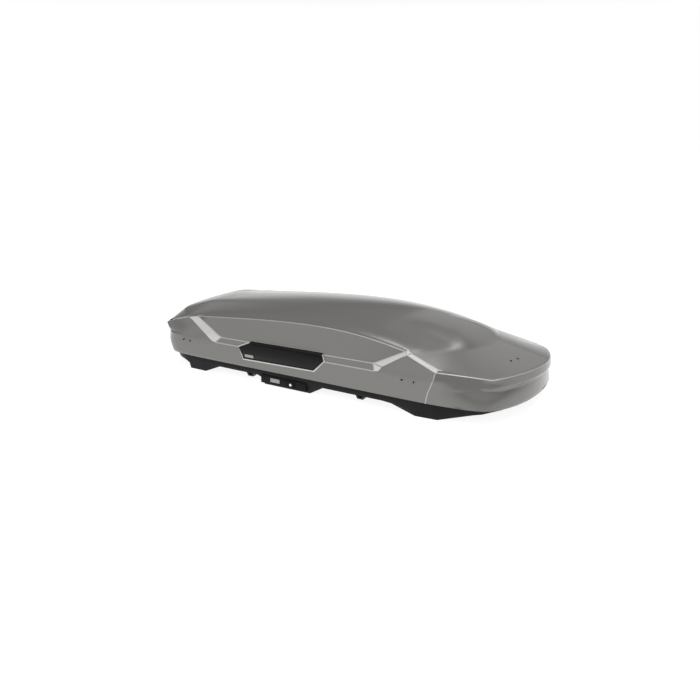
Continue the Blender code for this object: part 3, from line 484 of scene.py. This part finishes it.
def hold_rounded_edges(mesh):
    """Creases the borders of the rounded edges and their corners, against smoothing.

    Rounded edges without the painted highlight get the lid's plain finish back.
    """
    weights = mesh.attributes["bevel_weight_edge"]
    crease = mesh.attributes.new("crease_edge", "FLOAT", "EDGE")
    for held, weight in zip(crease.data, weights.data):
        held.value = 1.0 if weight.value > 0 else 0.0
    table = lid_lines()
    places = [table[line_index][station] for station, first, last in CORNERS
              for line_index in range(first, last + 1)]
    corner = mesh.attributes.new("crease_vert", "FLOAT", "POINT")
    for held, vertex in zip(corner.data, mesh.vertices):
        spot = (vertex.co.x, abs(vertex.co.y), vertex.co.z)
        held.value = float(any(math.dist(spot, place) < CORNER_REACH for place in places))
    segments = painted_highlight_segments(table)
    for face in mesh.polygons:
        spot = Vector((face.center.x, abs(face.center.y), face.center.z))
        if face.material_index == EDGE and not any(near_segment(spot, *ends) for ends in segments):
            face.material_index = GLOSS


def build_lid():
    """Both halves of the lid's skin, smoothed between its rounded edges, with its wall."""
    lid = mesh_object(skin(lid_lines(), LINE_ROUNDS, CROSS_ROUNDS), "lid")
    modify(lid, "MIRROR", "both_sides", use_axis=(False, True, False), merge_threshold=MERGE)
    # The rounded edges' faces take the lighter edge paint, a painted highlight
    modify(lid, "BEVEL", "rounded_edges", width=WIDEST_ROUND, segments=EDGE_STEPS,
           limit_method="WEIGHT", offset_type="OFFSET", profile=0.5, use_clamp_overlap=False,
           material=EDGE)
    for name in LID_FINISHES_AND_PAINTED_HIGHLIGHTS:
        lid.data.materials.append(MATERIALS[name])
    apply_all(lid)
    hold_rounded_edges(lid.data)
    modify(lid, "SUBSURF", "smooth_panels", levels=SMOOTHING, render_levels=SMOOTHING)
    modify(lid, "SOLIDIFY", "wall", thickness=LID_WALL, offset=-1,
           material_offset=len(LID_FINISHES_AND_PAINTED_HIGHLIGHTS) // 2, material_offset_rim=0)
    apply_all(lid)
    bm = bmesh.new()
    bm.from_mesh(lid.data)
    for side in SIDES.values():
        add_pocket_lip(bm, side)
    bm.to_mesh(lid.data)
    bm.free()
    modify(lid, "WEIGHTED_NORMAL", "flat_panels", keep_sharp=True)
    apply_all(lid, sharp=40)
    finish_piece(lid, "lid", ["lid_shell"])


def build_handle(name, side):
    """A two-facet handle with a finger groove, and the plate that closes its pocket."""
    front = handle_ring(side)
    back = [(x, y - side * HANDLE_DEPTH, z) for x, y, z in front]
    count = len(front)
    bm = bmesh.new()
    outer = [bm.verts.new(p) for p in front]
    inner = [bm.verts.new(p) for p in back]
    foot_rear, foot_front, tip_front, head_front, head_rear, tip_rear = outer
    bm.faces.new((foot_rear, foot_front, tip_front, tip_rear))
    bm.faces.new((tip_rear, tip_front, head_front, head_rear))
    bm.faces.new(inner[::-1])
    for i in range(count):
        j = (i + 1) % count
        bm.faces.new((outer[i], inner[i], inner[j], outer[j]))
    bmesh.ops.recalc_face_normals(bm, faces=bm.faces)
    handle = mesh_object(bm, f"handle_{name}")
    groove = prism([[(x, side * y, z) for x, z in GROOVE] for y in GROOVE_Y])
    cutter = mesh_object(groove, "groove_cutter")
    modify(handle, "BOOLEAN", "groove", operation="DIFFERENCE", solver="EXACT", object=cutter)
    modify(handle, "BEVEL", "rounded_edges", width=HANDLE_ROUND, segments=3,
           limit_method="ANGLE", angle_limit=math.radians(12))
    modify(handle, "WEIGHTED_NORMAL", "flat_faces")
    apply_all(handle, sharp=50)
    bpy.data.objects.remove(cutter)
    backing = handle_ring(side, BACKING_SPREAD)
    bm = prism([[(x, side * y, z) for x, _, z in backing] for y in BACKING_Y])
    bm.from_mesh(handle.data)
    bm.to_mesh(handle.data)
    bm.free()
    handle.data.materials.append(MATERIALS["handle_black"])
    finish_piece(handle, "lid", [f"side_handle_{name}"])


def dome(bm, centre, axis, rings):
    """A turned cap: rings of (radius, height) round an axis, closed at its top."""
    turn = Vector(axis).to_track_quat("Z", "Y").to_matrix()
    angles = [2 * math.pi * k / CAP_STEPS for k in range(CAP_STEPS)]
    loops = []
    for radius, height in rings:
        spots = [Vector((radius * math.cos(a), radius * math.sin(a), height)) for a in angles]
        loops.append([bm.verts.new(Vector(centre) + turn @ spot) for spot in spots])
    for loop, after in zip(loops, loops[1:]):
        for k in range(CAP_STEPS):
            n = (k + 1) % CAP_STEPS
            bm.faces.new((loop[k], loop[n], after[n], after[k]))
    bm.faces.new(loops[-1])
    bm.faces.new(loops[0][::-1])


def build_rivets():
    """Black domed rivets on bright washers."""
    for name, side in SIDES.items():
        across = Vector((1, side, 1))
        spots = [((x, w, z), FLANK_AXIS) for x, w, z in FLANK_RIVETS]
        spots += [((x, w, bonnet_height(x, w)), BONNET_AXIS) for x, w in BONNET_RIVETS[name]]
        for kind, slot_name, rings in RIVET_PARTS:
            bm = bmesh.new()
            for centre, axis in spots:
                dome(bm, Vector(centre) * across, Vector(axis) * across,
                     [(RIVET_RADIUS * r, h) for r, h in rings])
            thing = mesh_object(bm, f"{kind}s_{name}")
            thing.data.materials.append(MATERIALS[slot_name])
            apply_all(thing, sharp=40)
            finish_piece(thing, "lid")


def bonnet_height(x, w):
    """Height of the lid's skin at a point of its bonnet."""
    lid = bpy.data.objects["lid"]
    above = lid.matrix_world.inverted() @ Vector((x, -w, 1.0))
    _, place, _, _ = lid.ray_cast(above, Vector((0, 0, -1)))
    return place.z


def build_fine_copies():
    """Copies of every CAD node but the lid's shell and handles, with rounded edges."""
    body_of = {node: body for body, nodes in frame["record"]["behaviour"]["bodies"].items()
               for node in nodes}
    slot_of = {row["node"]: row["material_slot"] for row in frame["record"]["subparts"]}
    for name in sorted(frame["nodes"]):
        if name == "lid_shell" or name.startswith("side_handle"):
            continue
        width = FINE_EDGES.get(name.split("_")[0], SMALL_EDGE)
        piece = refined(frame["nodes"][name], width)
        piece.data.materials.append(MATERIALS[slot_of[name]])
        finish_piece(piece, body_of[name], [name])


# ------------------------------------------------------------------ studio and camera
def light(name, location, target, width, power, height):
    lamp = bpy.data.lights.new(name, "AREA")
    lamp.shape = "RECTANGLE"
    lamp.size = width
    lamp.size_y = height
    lamp.energy = power
    placed = bpy.data.objects.new(name, lamp)
    placed.location = location
    placed.rotation_euler = (Vector(target) - Vector(location)).to_track_quat("-Z", "Y").to_euler()
    bpy.context.scene.collection.objects.link(placed)
    return placed


def studio_world():
    """White at the horizon, under a grey sky that is darkest part of the way up."""
    world = bpy.data.worlds.new("studio")
    world.use_nodes = True
    nodes, links = world.node_tree.nodes, world.node_tree.links
    place = nodes.new("ShaderNodeTexCoord")
    split = nodes.new("ShaderNodeSeparateXYZ")
    ramp = nodes.new("ShaderNodeValToRGB")
    while len(ramp.color_ramp.elements) < len(SKY_BANDS):
        ramp.color_ramp.elements.new(1.0)
    for stop, (rise, level) in zip(ramp.color_ramp.elements, SKY_BANDS):
        stop.position = rise
        stop.color = (level, level, level, 1)
    links.new(place.outputs["Generated"], split.inputs["Vector"])
    links.new(split.outputs["Z"], ramp.inputs["Fac"])
    links.new(ramp.outputs["Color"], nodes["Background"].inputs["Color"])
    return world


def build_studio():
    scene = bpy.context.scene
    scene.view_settings.view_transform = "Standard"
    scene.world = studio_world()
    bm = bmesh.new()
    bmesh.ops.create_grid(bm, x_segments=1, y_segments=1, size=FLOOR_REACH)
    floor = mesh_object(bm, "floor")
    pale = shader("pale_floor", (0.35, 0.35, 0.35), 0.9, Specular_IOR_Level=0.0,
                  Emission_Color=(1, 1, 1, 1), Emission_Strength=0.9)
    floor.data.materials.append(pale)
    floor.location.z = -FLOOR_DROP
    placed = {name: light(name, *values) for name, *values in SOFTBOXES}
    placed["front_fill"].visible_glossy = False

    camera = bpy.data.cameras.new("camera")
    camera.sensor_width = 36
    camera.lens = CAMERA_LENS
    eye = bpy.data.objects.new("camera", camera)
    eye.location = CAMERA_PLACE
    eye.rotation_euler = Vector(CAMERA_AIM).to_track_quat("-Z", "Y").to_euler()
    scene.collection.objects.link(eye)
    scene.camera = eye


MATERIALS = make_materials()
build_lid()
for side_name, side_sign in SIDES.items():
    build_handle(side_name, side_sign)
build_rivets()
build_fine_copies()
build_studio()
